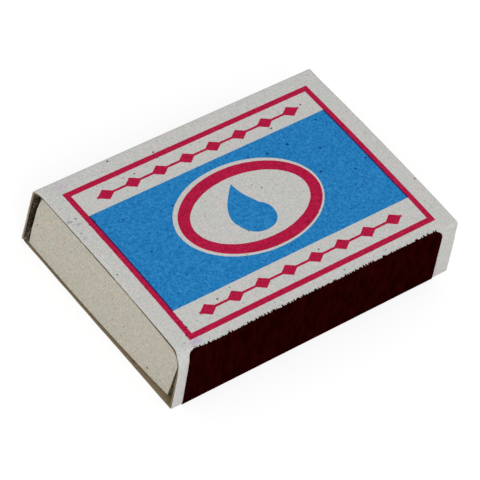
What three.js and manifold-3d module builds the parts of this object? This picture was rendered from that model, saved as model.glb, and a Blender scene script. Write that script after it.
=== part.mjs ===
// A sliding matchbox: a folded card sleeve, a folded card tray and forty wooden matches.
// Millimetres, +Z up. Origin: middle of the sleeve's underside. +X along the box,
// the plain end of the sleeve; -Y the long side that carries the front striker.
import * as THREE from 'three';
import { mergeVertices } from 'three/addons/utils/BufferGeometryUtils.js';
import Module from 'manifold-3d';

const wasm = await Module();
wasm.setup();

// Sleeve, outside
const sleeveLength = 53;
const sleeveWidth = 37;
const sleeveHeight = 11;
const sleeveBoard = 0.42;
const sleeveFoldRadius = 0.75;
const lapTopGap = 1.6;          // bare height above the glue lap, inside the back wall
const seamLift = 0.1;           // cut edge of the back panel above the table
const seamGlueAngle = 25;       // degrees of the lap's fold that the glue line fills

// Tray
const trayBoard = 0.4;
const trayFoldRadius = 0.6;
const traySideClearance = 0.35;
const trayFloorClearance = 0.12;
const trayHeadroom = 0.55;
const trayEndRecess = 0.25;
const endFlapSideGap = 0.15;    // end flap narrower than the tray, each side
const endFlapTaper = 0.6;       // the flap's sides lean in towards its top
const endFlapCornerRadius = 1.6;
const cornerTabLength = 8;
const cornerTabTopGap = 1;
const cornerTabBottomGap = 0.3;
const glueBite = 0.02;          // glued faces are one body

// Strikers, thin coats on the two long sides
const strikerCoat = 0.08;
const strikerLeftMargin = 1.8;
const strikerRightMargin = 3.1;

// Printed label, thin fields of ink on the top
const inkCoat = 0.04;
const frameLeftMargin = 3.65;
const frameRightMargin = 2.95;
const frameFrontMargin = 2.15;
const frameBackMargin = 2.9;
const frameLine = 0.95;
const bandHeight = 4.6;
const chainLine = 0.4;
const lozengeLength = 3.2;
const lozengeHeight = 2.2;
const lozengePitch = 5;
const medallionLength = 24.5;
const medallionRing = 1.9;
const medallionHalo = 0.55;
const medallionFieldGap = 1.7;  // blue left above and below the medallion's halo
const flameRingGap = 1.3;
const flameWidth = 6.8;

// Matches
const pileHeadroom = 0.8;       // least air above the top layer of heads
const stickSide = 2;
const headDiameter = 2.7;
const headLength = 3.6;
const headSleeve = 0.9;         // head compound that runs down the stick
const matchGap = 0.03;
const matchEndGap = 1.6;
const matchSideGap = 0.1;
const yawSeed = 7;

const foldSteps = 5;
const curveSteps = 16;
const flameSteps = 7;
const headSides = 10;

const colours = {
  board: 0xcbcbc5,
  trayBoard: 0xb7b2a2,
  striker: 0x2a0706,
  crimson: 0xbe194b,
  blue: 0x1e7dbe,
  wood: 0xd9bd8c,
};

const halfWidth = sleeveWidth / 2;
const trayWidth = sleeveWidth - 3 * sleeveBoard - 2 * traySideClearance;
const trayCentreY = -sleeveBoard / 2;
const trayLength = sleeveLength - 2 * trayEndRecess;
const trayFloor = sleeveBoard + trayFloorClearance;
const trayHeight = sleeveHeight - sleeveBoard - trayHeadroom - trayFloor;

function material(colour, roughness) {
  return new THREE.MeshStandardMaterial({ color: colour, roughness, metalness: 0 });
}

function toSolid(geometry) {
  const bare = geometry.clone();
  bare.deleteAttribute('normal');
  bare.deleteAttribute('uv');
  const merged = mergeVertices(bare, 1e-5);
  return new wasm.Manifold(new wasm.Mesh({
    numProp: 3,
    vertProperties: new Float32Array(merged.attributes.position.array),
    triVerts: new Uint32Array(merged.index.array),
  }));
}

function toGeometry(solid) {
  const mesh = solid.getMesh();
  const geometry = new THREE.BufferGeometry();
  geometry.setAttribute('position', new THREE.BufferAttribute(mesh.vertProperties, 3));
  geometry.setIndex(new THREE.BufferAttribute(mesh.triVerts, 1));
  geometry.computeVertexNormals();
  return geometry;
}

function join(geometries) {
  const solids = geometries.map(toSolid);
  return toGeometry(solids.reduce((whole, piece) => whole.add(piece)));
}

// Points of an arc, angles in degrees, both ends included.
function arc(cx, cy, radius, from, to) {
  const points = [];
  for (let i = 0; i <= foldSteps; i++) {
    const angle = THREE.MathUtils.degToRad(from + (to - from) * i / foldSteps);
    points.push(new THREE.Vector2(cx + radius * Math.cos(angle), cy + radius * Math.sin(angle)));
  }
  return points;
}

function flat(shape, depth, steps = curveSteps) {
  return new THREE.ExtrudeGeometry(shape, { depth, bevelEnabled: false, curveSegments: steps });
}

// A section drawn in the Y-Z plane, swept along X and centred on it.
function sweepAlongX(shape, length) {
  const geometry = flat(shape, length);
  geometry.applyMatrix4(new THREE.Matrix4().makeBasis(
    new THREE.Vector3(0, 1, 0),
    new THREE.Vector3(0, 0, 1),
    new THREE.Vector3(1, 0, 0),
  ));
  geometry.translate(-length / 2, 0, 0);
  return geometry;
}

// A section drawn in the X-Z plane, swept along Y and centred on it.
function sweepAlongY(shape, width) {
  const geometry = flat(shape, width);
  geometry.rotateX(Math.PI / 2);
  geometry.translate(0, width / 2, 0);
  return geometry;
}

function addPiece(group, name, geometry, surface) {
  const mesh = new THREE.Mesh(geometry, surface);
  mesh.name = name;
  group.add(mesh);
  return mesh;
}

// The sleeve is one strip of board folded round in Y-Z. Its glue lap turns up
// from the floor and lies against the inside of the back panel.
function sleeveSection() {
  const right = halfWidth;
  const left = -halfWidth;
  const top = sleeveHeight;
  const fold = sleeveFoldRadius;
  const inner = sleeveFoldRadius - sleeveBoard;
  const lapFace = right - sleeveBoard;
  const lapFold = arc(lapFace - fold, fold, fold, -90, -seamGlueAngle);
  const lapFoldEnd = lapFold[lapFold.length - 1];
  const outline = [
    ...arc(left + fold, fold, fold, 180, 270),
    ...lapFold,
    new THREE.Vector2(lapFace, lapFoldEnd.y),
    new THREE.Vector2(lapFace, seamLift),
    new THREE.Vector2(right, seamLift),
    ...arc(right - fold, top - fold, fold, 0, 90),
    ...arc(left + fold, top - fold, fold, 90, 180),
  ];
  const lapTop = top - sleeveBoard - lapTopGap;
  const hole = [
    ...arc(left + fold, fold, inner, 180, 270),
    ...arc(lapFace - fold, fold, inner, 270, 360),
    new THREE.Vector2(lapFace - sleeveBoard, lapTop),
    new THREE.Vector2(lapFace, lapTop),
    ...arc(right - fold, top - fold, inner, 0, 90),
    ...arc(left + fold, top - fold, inner, 90, 180),
  ];
  const shape = new THREE.Shape(outline);
  shape.holes.push(new THREE.Path(hole));
  return shape;
}

// The tray's floor and two long walls, one U in Y-Z.
function trayTroughSection() {
  const right = trayWidth / 2;
  const fold = trayFoldRadius;
  const inner = trayFoldRadius - trayBoard;
  return new THREE.Shape([
    ...arc(-right + fold, fold, fold, 180, 270),
    ...arc(right - fold, fold, fold, 270, 360),
    new THREE.Vector2(right, trayHeight),
    new THREE.Vector2(right - trayBoard, trayHeight),
    ...arc(right - fold, fold, inner, 360, 270),
    ...arc(-right + fold, fold, inner, 270, 180),
    new THREE.Vector2(-right + trayBoard, trayHeight),
    new THREE.Vector2(-right, trayHeight),
  ]);
}

// The fold that turns the floor up into the end flap, at +X, in X-Z.
function endFoldSection() {
  const end = trayLength / 2;
  const fold = trayFoldRadius;
  const inner = trayFoldRadius - trayBoard;
  return new THREE.Shape([
    new THREE.Vector2(end - fold - glueBite, 0),
    ...arc(end - fold, fold, fold, 270, 360),
    new THREE.Vector2(end, fold + glueBite),
    new THREE.Vector2(end - trayBoard, fold + glueBite),
    ...arc(end - fold, fold, inner, 360, 270),
    new THREE.Vector2(end - fold - glueBite, trayBoard),
  ]);
}

// The end flap seen from the end: straight foot, leaning sides, round top corners.
function endFlapShape() {
  const foot = trayWidth / 2 - endFlapSideGap;
  const head = foot - endFlapTaper;
  const radius = endFlapCornerRadius;
  const shape = new THREE.Shape();
  shape.moveTo(-foot, trayFoldRadius);
  shape.lineTo(foot, trayFoldRadius);
  shape.lineTo(head, trayHeight - radius);
  shape.quadraticCurveTo(head, trayHeight, head - radius, trayHeight);
  shape.lineTo(-head + radius, trayHeight);
  shape.quadraticCurveTo(-head, trayHeight, -head, trayHeight - radius);
  shape.closePath();
  return shape;
}

// A long wall's end turns in behind the flap as a tab, at +X, in X-Y.
// Side is 1 for the wall at +Y and -1 for the one at -Y.
function cornerTabSection(side) {
  const end = trayLength / 2 - trayBoard + glueBite;
  const wall = trayWidth / 2;
  const fold = trayFoldRadius;
  const inner = trayFoldRadius - trayBoard;
  const outline = [
    new THREE.Vector2(end - fold - glueBite, wall - trayBoard),
    ...arc(end - fold, wall - fold, inner, 90, 0),
    new THREE.Vector2(end - trayBoard, wall - cornerTabLength),
    new THREE.Vector2(end, wall - cornerTabLength),
    ...arc(end - fold, wall - fold, fold, 0, 90),
    new THREE.Vector2(end - fold - glueBite, wall),
  ];
  return new THREE.Shape(outline.map((point) => new THREE.Vector2(point.x, side * point.y)));
}

function turned(geometry) {
  return geometry.clone().rotateZ(Math.PI);
}

function trayGeometry() {
  const troughLength = trayLength - 2 * (trayFoldRadius + trayBoard) + 2 * glueBite;
  const floorLength = trayLength - 2 * trayFoldRadius;
  const floorWidth = trayWidth - 2 * trayFoldRadius;
  const trough = sweepAlongX(trayTroughSection(), troughLength);
  const floor = new THREE.BoxGeometry(floorLength, floorWidth, trayBoard);
  floor.translate(0, 0, trayBoard / 2);
  const fold = sweepAlongY(endFoldSection(), floorWidth);
  const flap = sweepAlongX(endFlapShape(), trayBoard);
  flap.translate(trayLength / 2 - trayBoard / 2, 0, 0);
  const tabHeight = trayHeight - cornerTabTopGap - trayFoldRadius - cornerTabBottomGap;
  const tabs = [-1, 1].map((side) => {
    const tab = flat(cornerTabSection(side), tabHeight);
    return tab.translate(0, 0, trayFoldRadius + cornerTabBottomGap);
  });
  const end = [fold, flap, ...tabs];
  return join([trough, floor, ...end, ...end.map(turned)]);
}

// Ink shapes are drawn as seen from above, with their own middle at (0, 0).
function rectangle(length, height) {
  const x = length / 2;
  const y = height / 2;
  return [
    new THREE.Vector2(-x, -y),
    new THREE.Vector2(x, -y),
    new THREE.Vector2(x, y),
    new THREE.Vector2(-x, y),
  ];
}

function oval(length, height) {
  const path = new THREE.Path();
  path.absellipse(0, 0, length / 2, height / 2, 0, 2 * Math.PI);
  return path;
}

const frameLength = sleeveLength - frameLeftMargin - frameRightMargin;
const frameHeight = sleeveWidth - frameFrontMargin - frameBackMargin;
const panelLength = frameLength - 2 * frameLine;
const panelHeight = frameHeight - 2 * frameLine;
const fieldHeight = panelHeight - 2 * bandHeight;
const medallionHeight = fieldHeight - 2 * (medallionFieldGap + medallionHalo);
const flameHeight = medallionHeight - 2 * (medallionRing + flameRingGap);

function labelFrame() {
  const shape = new THREE.Shape(rectangle(frameLength, frameHeight));
  shape.holes.push(new THREE.Path(rectangle(panelLength, panelHeight)));
  return flat(shape, inkCoat);
}

function labelField() {
  const shape = new THREE.Shape(rectangle(panelLength, fieldHeight));
  shape.holes.push(oval(medallionLength + 2 * medallionHalo, medallionHeight + 2 * medallionHalo));
  return flat(shape, inkCoat);
}

function medallionRingInk() {
  const shape = new THREE.Shape(oval(medallionLength, medallionHeight).getPoints(curveSteps));
  shape.holes.push(oval(medallionLength - 2 * medallionRing, medallionHeight - 2 * medallionRing));
  return flat(shape, inkCoat);
}

// A plain flame: a round foot that runs up to one leaning tip.
function flameInk() {
  const half = flameWidth / 2;
  const foot = -flameHeight / 2;
  const tip = flameHeight / 2;
  const lean = flameWidth * 0.08;
  const shape = new THREE.Shape();
  shape.moveTo(0, foot);
  shape.bezierCurveTo(half, foot, half * 1.25, foot + flameHeight * 0.36, half * 0.62, 0);
  shape.bezierCurveTo(half * 0.3, flameHeight * 0.22, lean, flameHeight * 0.3, lean, tip);
  shape.bezierCurveTo(-half * 0.5, flameHeight * 0.3, -half * 1.4, 0, -half, foot + flameHeight * 0.25);
  shape.bezierCurveTo(-half * 0.85, foot + flameHeight * 0.06, -half * 0.4, foot, 0, foot);
  return flat(shape, inkCoat, flameSteps);
}

// A row of lozenges strung on a thin line, one body.
function chainInk() {
  const count = Math.floor((panelLength - lozengeLength) / lozengePitch);
  const start = -(count - 1) * lozengePitch / 2;
  const thin = chainLine / 2;
  const tall = lozengeHeight / 2;
  const run = lozengeLength / 2;
  const reach = run * (1 - thin / tall);
  const above = [];
  for (let i = 0; i < count; i++) {
    const x = start + i * lozengePitch;
    above.push(new THREE.Vector2(x - reach, thin));
    above.push(new THREE.Vector2(x, tall));
    above.push(new THREE.Vector2(x + reach, thin));
  }
  const end = start - run;
  const below = above.map((point) => new THREE.Vector2(point.x, -point.y)).reverse();
  const shape = new THREE.Shape([
    new THREE.Vector2(end, -thin),
    new THREE.Vector2(end, thin),
    ...above,
    new THREE.Vector2(-end, thin),
    new THREE.Vector2(-end, -thin),
    ...below,
  ]);
  return flat(shape, inkCoat);
}

// One match along X with its head at -X, its stick's foot at +X and its axis at Y = Z = 0.
function matchGeometry(length) {
  const stickLength = length - headLength / 2;
  const stick = new THREE.BoxGeometry(stickLength, stickSide, stickSide);
  stick.translate(length / 2 - stickLength / 2, 0, 0);
  const radius = headDiameter / 2;
  const neck = stickSide * 0.54;
  const profile = [
    new THREE.Vector2(0, 0),
    new THREE.Vector2(radius * 0.62, headLength * 0.08),
    new THREE.Vector2(radius * 0.94, headLength * 0.27),
    new THREE.Vector2(radius, headLength * 0.46),
    new THREE.Vector2(neck * 1.12, headLength - headSleeve * 0.4),
    new THREE.Vector2(neck * 0.6, headLength),
    new THREE.Vector2(0, headLength),
  ];
  const head = new THREE.LatheGeometry(profile, headSides);
  head.rotateZ(-Math.PI / 2);
  head.translate(-length / 2, 0, 0);
  return join([stick, head]);
}

// Repeatable values from 0 to 1.
function seededRandom(seed) {
  let state = seed;
  return () => {
    state = (state * 16807) % 2147483647;
    return state / 2147483647;
  };
}

// Heads point to -X. Neighbours are staggered lengthwise so that no two heads touch.
// The lowest layer is full, and each layer above it holds one match less.
function addMatches(group) {
  const insideWidth = trayWidth - 2 * trayBoard;
  const insideLength = trayLength - 4 * trayBoard;
  const insideHeight = trayHeight - trayBoard;
  const stagger = headLength + matchGap;
  const length = insideLength - stagger - 2 * matchEndGap;
  const span = insideWidth - headDiameter - 2 * matchSideGap;
  const tightPitch = (headDiameter + stickSide) / 2 + matchGap;
  const fullLayer = Math.floor(span / tightPitch) + 1;
  const layers = Math.floor((insideHeight - pileHeadroom) / (headDiameter + matchGap));
  const layerPitch = (insideHeight - pileHeadroom - headDiameter - matchGap) / (layers - 1);
  const lowest = trayFloor + trayBoard + matchGap + headDiameter / 2;
  const surface = material(colours.wood, 0.8);
  const geometry = matchGeometry(length);
  const random = seededRandom(yawSeed);
  let number = 0;
  for (let layer = 0; layer < layers; layer++) {
    const count = layer === 0 ? fullLayer : fullLayer - 1;
    const pitch = span / (count - 1);
    for (let column = 0; column < count; column++) {
      number += 1;
      const match = addPiece(group, `match_${String(number).padStart(2, '0')}`, geometry, surface);
      const shift = (column + layer) % 2 === 0 ? -stagger / 2 : stagger / 2;
      const across = trayCentreY - span / 2 + column * pitch;
      match.position.set(shift, across, lowest + layer * layerPitch);
      const atWall = column === 0 || column === count - 1;
      match.rotation.z = atWall ? 0 : (random() - 0.5) * (pitch - tightPitch) / length;
    }
  }
}

const matchbox = new THREE.Group();

addPiece(matchbox, 'sleeve', sweepAlongX(sleeveSection(), sleeveLength), material(colours.board, 0.9));

const tray = addPiece(matchbox, 'tray', trayGeometry(), material(colours.trayBoard, 0.9));
tray.position.set(0, trayCentreY, trayFloor);

const strikerLength = sleeveLength - strikerLeftMargin - strikerRightMargin;
const strikerHeight = sleeveHeight - 2 * sleeveFoldRadius;
const strikerShift = (strikerLeftMargin - strikerRightMargin) / 2;
[['striker_front', -1], ['striker_back', 1]].forEach(([name, side]) => {
  const coat = new THREE.BoxGeometry(strikerLength, strikerCoat, strikerHeight);
  const striker = addPiece(matchbox, name, coat, material(colours.striker, 0.95));
  striker.position.set(strikerShift, side * (halfWidth + strikerCoat / 2), sleeveHeight / 2);
});

const crimsonInk = material(colours.crimson, 0.6);
const blueInk = material(colours.blue, 0.6);
const bandCentre = (fieldHeight + bandHeight) / 2;
const labelX = (frameLeftMargin - frameRightMargin) / 2;
const labelY = (frameFrontMargin - frameBackMargin) / 2;
const prints = [
  ['label_frame', labelFrame(), crimsonInk, 0],
  ['label_field', labelField(), blueInk, 0],
  ['label_medallion_ring', medallionRingInk(), crimsonInk, 0],
  ['label_flame', flameInk(), blueInk, 0],
  ['label_chain_front', chainInk(), crimsonInk, -bandCentre],
  ['label_chain_back', chainInk(), crimsonInk, bandCentre],
];
prints.forEach(([name, geometry, ink, across]) => {
  const print = addPiece(matchbox, name, geometry, ink);
  print.position.set(labelX, labelY + across, sleeveHeight);
});

addMatches(matchbox);

export default matchbox;
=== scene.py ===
import math
import random

import bmesh
import bpy
from mathutils import Matrix, Vector, noise
from mathutils.geometry import tessellate_polygon


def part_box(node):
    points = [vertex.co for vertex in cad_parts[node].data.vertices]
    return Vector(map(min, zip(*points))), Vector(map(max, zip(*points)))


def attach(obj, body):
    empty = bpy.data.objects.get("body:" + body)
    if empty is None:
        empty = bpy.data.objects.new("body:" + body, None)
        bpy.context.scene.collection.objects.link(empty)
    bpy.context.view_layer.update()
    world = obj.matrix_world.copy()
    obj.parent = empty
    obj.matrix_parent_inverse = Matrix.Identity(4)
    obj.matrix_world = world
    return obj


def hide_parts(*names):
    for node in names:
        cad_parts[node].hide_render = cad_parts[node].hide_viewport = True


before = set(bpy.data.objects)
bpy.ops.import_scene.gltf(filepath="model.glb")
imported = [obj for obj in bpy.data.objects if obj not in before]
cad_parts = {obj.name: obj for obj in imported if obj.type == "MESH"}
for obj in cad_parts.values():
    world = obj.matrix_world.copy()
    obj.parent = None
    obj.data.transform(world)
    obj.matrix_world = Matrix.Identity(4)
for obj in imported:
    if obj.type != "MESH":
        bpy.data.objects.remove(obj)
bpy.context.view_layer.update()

MM = 0.001
SMOOTH_ANGLE = 35              # degrees; sharper edges stay crisp

# Camera, fitted to the box's corners and to the corners of its printed frame
PICTURE_PIXELS = 480
FOCAL_PIXELS = 2904
SENSOR_MM = 36
CAMERA_AIM = Vector((-1.255, -1.278, 5.5)) * MM
CAMERA_DISTANCE = 435.2 * MM
CAMERA_AZIMUTH = -46.995
CAMERA_ELEVATION = 47.639
CAMERA_ROLL = 12.992

# Sizes from the frame, in metres
SLEEVE_LOW, SLEEVE_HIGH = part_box("sleeve")
TRAY_LOW, TRAY_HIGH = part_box("tray")
FRAME_LOW, FRAME_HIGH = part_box("label_frame")
FIELD_LOW, FIELD_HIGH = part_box("label_field")
RING_LOW, RING_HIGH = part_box("label_medallion_ring")
FLAME_LOW, FLAME_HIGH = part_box("label_flame")
STRIKER_LOW, STRIKER_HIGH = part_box("striker_front")
LENGTH = SLEEVE_HIGH.x - SLEEVE_LOW.x
WIDTH = SLEEVE_HIGH.y - SLEEVE_LOW.y
HEIGHT = SLEEVE_HIGH.z

# Sleeve, in metres
BOARD = 0.42 * MM
FOLD = 0.46 * MM               # outer radius of the four creases
SOFT_FOLD = 2.7 * MM           # near top crease where the mouth has opened out
SOFT_REACH = 2.6 * MM          # how fast that softness dies away from the mouth
CROWN = 0.33 * MM              # the top bulges over the full tray
NEAR_SPLAY = 0.48 * MM         # the long walls lean out towards the floor
FAR_SPLAY = 0.55 * MM
LAP_TOP_GAP = 1.6 * MM
LAP_AIR = 0.03 * MM
LAP_CUT = 1.6 * MM             # the lap stops short of both ends
LAP_ROWS = 10
PAPER_TURN = 0.3 * MM          # cutting has drawn the outer paper over the edge
PLAIN_TURN = 0.08 * MM
TURN_START = 6.5 * MM          # the turned paper starts this high on the near wall
TURN_REACH = 2.5 * MM
SEAM_LIFT = 0.1 * MM
EDGE_WANDER = 0.05 * MM
WANDER_LENGTH = 1.5 * MM
FRAY_REACH = 0.6 * MM
TOP_SET_BACK = 0.95 * MM       # the top's edge lies further in than the walls' at the mouth
WALL_SET_BACK = 0.42 * MM      # the walls' ends slant back towards the top
NEAR_SET_BACK = 0.2 * MM       # and the whole mouth is cut a little askew
SET_BACK_REACH = 8 * MM
NEAR_BEND = (2.6 * MM, 2.2 * MM)    # across and down, from the wall's set back to the top's
FAR_BEND = (1.8 * MM, 0.6 * MM)
PANEL_WAVE = 0.05 * MM
WAVE_LENGTH = 9 * MM

# Tray
TRAY_BOARD = 0.4 * MM
TRAY_FOLD = 0.45 * MM
TAB_LENGTH = 8 * MM
TAB_SLANT = 0.7 * MM           # the tab narrows towards its free end
TAB_FOOT_AIR = 0.3 * MM
TAB_HEAD_AIR = 0.25 * MM

INK = 0.012 * MM
STRIKER_COAT = 0.13 * MM


# Small helpers

def wave(x, y, z, seed):
    """Smooth repeatable noise from -1 to 1; arguments are in feature lengths."""
    return noise.noise(Vector((x + 17.3 * seed, y - 9.1 * seed, z + 3.7 * seed)))


def smooth_step(t):
    t = min(max(t, 0.0), 1.0)
    return t * t * (3 - 2 * t)


def corner_drop(radius, reach):
    """How far a round corner lies below a square one, at this reach from the side."""
    return radius - math.sqrt(radius ** 2 - (radius - reach) ** 2)


def new_object(name, vertices, faces, materials, face_slots=None):
    mesh = bpy.data.meshes.new(name)
    mesh.from_pydata([tuple(v) for v in vertices], [], faces)
    for material in materials:
        mesh.materials.append(material)
    if face_slots:
        mesh.polygons.foreach_set("material_index", face_slots)
    mesh.validate()
    mesh.shade_smooth()
    mesh.set_sharp_from_angle(angle=math.radians(SMOOTH_ANGLE))
    piece = bpy.data.objects.new(name, mesh)
    bpy.context.scene.collection.objects.link(piece)
    return piece


def face_outwards(piece):
    shape = bmesh.new()
    shape.from_mesh(piece.data)
    bmesh.ops.recalc_face_normals(shape, faces=shape.faces[:])
    shape.to_mesh(piece.data)
    shape.free()


def arc(cy, cz, radius, start, end, steps):
    """Points of an arc in degrees, both ends included."""
    points = []
    for i in range(steps + 1):
        angle = math.radians(start + (end - start) * i / steps)
        points.append((cy + radius * math.cos(angle), cz + radius * math.sin(angle)))
    return points


def straight(a, b, steps):
    """Points strictly between a and b."""
    return [(a[0] + (b[0] - a[0]) * i / steps, a[1] + (b[1] - a[1]) * i / steps) for i in range(1, steps)]


def normals_of(path):
    """Unit normals on the left of an open path of 2-D points."""
    result = []
    for i in range(len(path)):
        a = path[max(i - 1, 0)]
        b = path[min(i + 1, len(path) - 1)]
        dy, dz = b[0] - a[0], b[1] - a[1]
        size = math.hypot(dy, dz) or 1.0
        result.append((-dz / size, dy / size))
    return result


class Form:
    """Vertices, faces and material slots of one piece."""

    def __init__(self):
        self.vertices = []
        self.faces = []
        self.slots = []

    def add(self, outer, inner):
        """A closed sheet with its cut edges; outer and inner are equal grids of 3-D points."""
        rows, columns = len(outer), len(outer[0])
        base = len(self.vertices)
        for grid in (outer, inner):
            for row in grid:
                self.vertices.extend(row)
        shift = rows * columns

        def out(i, j):
            return base + i * columns + j

        def into(i, j):
            return base + shift + i * columns + j

        for i in range(rows - 1):
            for j in range(columns - 1):
                self.face((out(i, j), out(i, j + 1), out(i + 1, j + 1), out(i + 1, j)), 0)
                self.face((into(i, j), into(i + 1, j), into(i + 1, j + 1), into(i, j + 1)), 1)
        for i in range(rows - 1):
            self.face((out(i, 0), out(i + 1, 0), into(i + 1, 0), into(i, 0)), 2)
            last = columns - 1
            self.face((out(i, last), into(i, last), into(i + 1, last), out(i + 1, last)), 2)
        for j in range(columns - 1):
            self.face((out(0, j), into(0, j), into(0, j + 1), out(0, j + 1)), 2)
            last = rows - 1
            self.face((out(last, j), out(last, j + 1), into(last, j + 1), into(last, j)), 2)

    def face(self, corners, slot):
        self.faces.append(corners)
        self.slots.append(slot)

    def piece(self, name, materials, flip=False):
        faces = [tuple(reversed(f)) for f in self.faces] if flip else self.faces
        return new_object(name, self.vertices, faces, materials, self.slots)


def even(low, high, step):
    """Values from low to high in equal steps of about the size given."""
    count = max(1, round((high - low) / step))
    return [low + (high - low) * i / count for i in range(count + 1)]


# Shader building blocks; lengths inside the shaders are in millimetres

class Shader:
    def __init__(self, name, roughness=0.9, specular=0.25):
        self.material = bpy.data.materials.new(name)
        self.material.use_nodes = True
        self.tree = self.material.node_tree
        self.bsdf = self.tree.nodes["Principled BSDF"]
        self.bsdf.inputs["Roughness"].default_value = roughness
        self.bsdf.inputs["Specular IOR Level"].default_value = specular
        place = self.tree.nodes.new("ShaderNodeTexCoord")
        scale = self.tree.nodes.new("ShaderNodeVectorMath")
        scale.operation = "SCALE"
        scale.inputs["Scale"].default_value = 1 / MM
        self.link(place.outputs["Object"], scale.inputs[0])
        self.mm = scale.outputs[0]

    def link(self, output, socket):
        self.tree.links.new(output, socket)

    def put(self, value, socket):
        if hasattr(value, "is_output"):
            self.link(value, socket)
        else:
            socket.default_value = value

    def vector(self, operation, a, b=None):
        node = self.tree.nodes.new("ShaderNodeVectorMath")
        node.operation = operation
        self.link(a, node.inputs[0])
        if b:
            node.inputs[1].default_value = b
        return node.outputs

    def stretched(self, x, y, z):
        return self.vector("MULTIPLY", self.mm, (x, y, z))[0]

    def noise(self, per_mm, detail=3.0, rough=0.55, place=None):
        node = self.tree.nodes.new("ShaderNodeTexNoise")
        node.inputs["Scale"].default_value = per_mm
        node.inputs["Detail"].default_value = detail
        node.inputs["Roughness"].default_value = rough
        self.link(place or self.mm, node.inputs["Vector"])
        return node.outputs["Fac"]

    def math(self, operation, a, b=0.0, clamp=False):
        node = self.tree.nodes.new("ShaderNodeMath")
        node.operation = operation
        node.use_clamp = clamp
        self.put(a, node.inputs[0])
        self.put(b, node.inputs[1])
        return node.outputs[0]

    def span(self, value, low, high, to_low=0.0, to_high=1.0):
        node = self.tree.nodes.new("ShaderNodeMapRange")
        self.link(value, node.inputs["Value"])
        node.inputs["From Min"].default_value = low
        node.inputs["From Max"].default_value = high
        node.inputs["To Min"].default_value = to_low
        node.inputs["To Max"].default_value = to_high
        return node.outputs["Result"]

    def specks(self, per_mm, radius, share):
        """Round dots: cells per mm, dot radius in cells, share of the cells that hold one."""
        node = self.tree.nodes.new("ShaderNodeTexVoronoi")
        node.inputs["Scale"].default_value = per_mm
        self.link(self.mm, node.inputs["Vector"])
        split = self.tree.nodes.new("ShaderNodeSeparateColor")
        self.link(node.outputs["Color"], split.inputs[0])
        chosen = self.math("LESS_THAN", split.outputs[0], share)
        size = self.span(split.outputs[1], 0, 1, radius * 0.45, radius)
        near = self.math("SUBTRACT", size, node.outputs["Distance"])
        dot = self.span(near, 0, radius * 0.45)
        return self.math("MULTIPLY", dot, chosen, clamp=True)

    def smudge(self, centre, size, strength):
        """A soft ragged spot in an ellipsoid round a point, in millimetres; from 0 to strength."""
        away = self.vector("SUBTRACT", self.mm, centre)[0]
        share = self.vector("DIVIDE", away, size)[0]
        reach = self.vector("LENGTH", share)["Value"]
        ragged = self.math("ADD", reach, self.span(self.noise(3.0), 0.3, 0.7, -0.5, 0.5))
        return self.span(ragged, 1.0, 0.3, 0.0, strength)

    def mix(self, factor, a, b):
        node = self.tree.nodes.new("ShaderNodeMix")
        node.data_type = "RGBA"
        node.clamp_factor = True
        self.put(factor, node.inputs[0])
        self.put(a, node.inputs[6])
        self.put(b, node.inputs[7])
        return node.outputs[2]

    def colour(self, value):
        self.put(value, self.bsdf.inputs["Base Color"])

    def bump(self, height, distance_mm, strength=1.0):
        node = self.tree.nodes.new("ShaderNodeBump")
        node.inputs["Distance"].default_value = distance_mm * MM
        node.inputs["Strength"].default_value = strength
        self.link(height, node.inputs["Height"])
        self.link(node.outputs[0], self.bsdf.inputs["Normal"])


def srgb(r, g, b):
    """A colour given as 0 to 255 screen values, as scene-linear RGBA."""
    def linear(v):
        v /= 255
        return v / 12.92 if v <= 0.04045 else ((v + 0.055) / 1.055) ** 2.4
    return (linear(r), linear(g), linear(b), 1.0)


def board_material(name, base, shade, warm, cool, speck, marks=(), mark_depth=1.5):
    """Recycled board: fine mottling, faint warm and cool clouds, dark fibre specks."""
    s = Shader(name)
    mottle = s.span(s.noise(3.2, 2.0, 0.8), 0.34, 0.66)
    fibre = s.span(s.noise(7.0, 2.0, 0.6), 0.3, 0.7)
    tint = s.noise(1.1, 2.0, 0.6)
    tone = s.mix(mottle, base, shade)
    tone = s.mix(s.span(tint, 0.52, 0.75), tone, warm)
    tone = s.mix(s.span(tint, 0.46, 0.25), tone, cool)
    tone = s.mix(s.math("MULTIPLY", fibre, 0.35), tone, shade)
    tone = s.mix(s.math("MULTIPLY", s.specks(2.0, 0.26, 0.25), 0.5), tone, speck)
    tone = s.mix(s.specks(1.0, 0.25, 0.16), tone, speck)
    for x, y, z, length, height, strength, colour in marks:
        tone = s.mix(s.smudge((x, y, z), (length, height, mark_depth), strength), tone, colour)
    s.colour(tone)
    s.bump(s.math("ADD", fibre, s.math("MULTIPLY", mottle, 0.8)), 0.02, 0.6)
    return s.material


def edge_material(name, base, dark, marks=()):
    """Cut board: layered brown-grey fibres."""
    s = Shader(name, 0.95, 0.1)
    layers = s.span(s.noise(4.0, 4.0, 0.7, s.stretched(1.0, 1.0, 2.5)), 0.35, 0.65)
    tone = s.mix(layers, base, dark)
    for centre, size, strength, colour in marks:
        tone = s.mix(s.smudge(centre, size, strength), tone, colour)
    s.colour(tone)
    s.bump(layers, 0.06)
    return s.material


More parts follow.
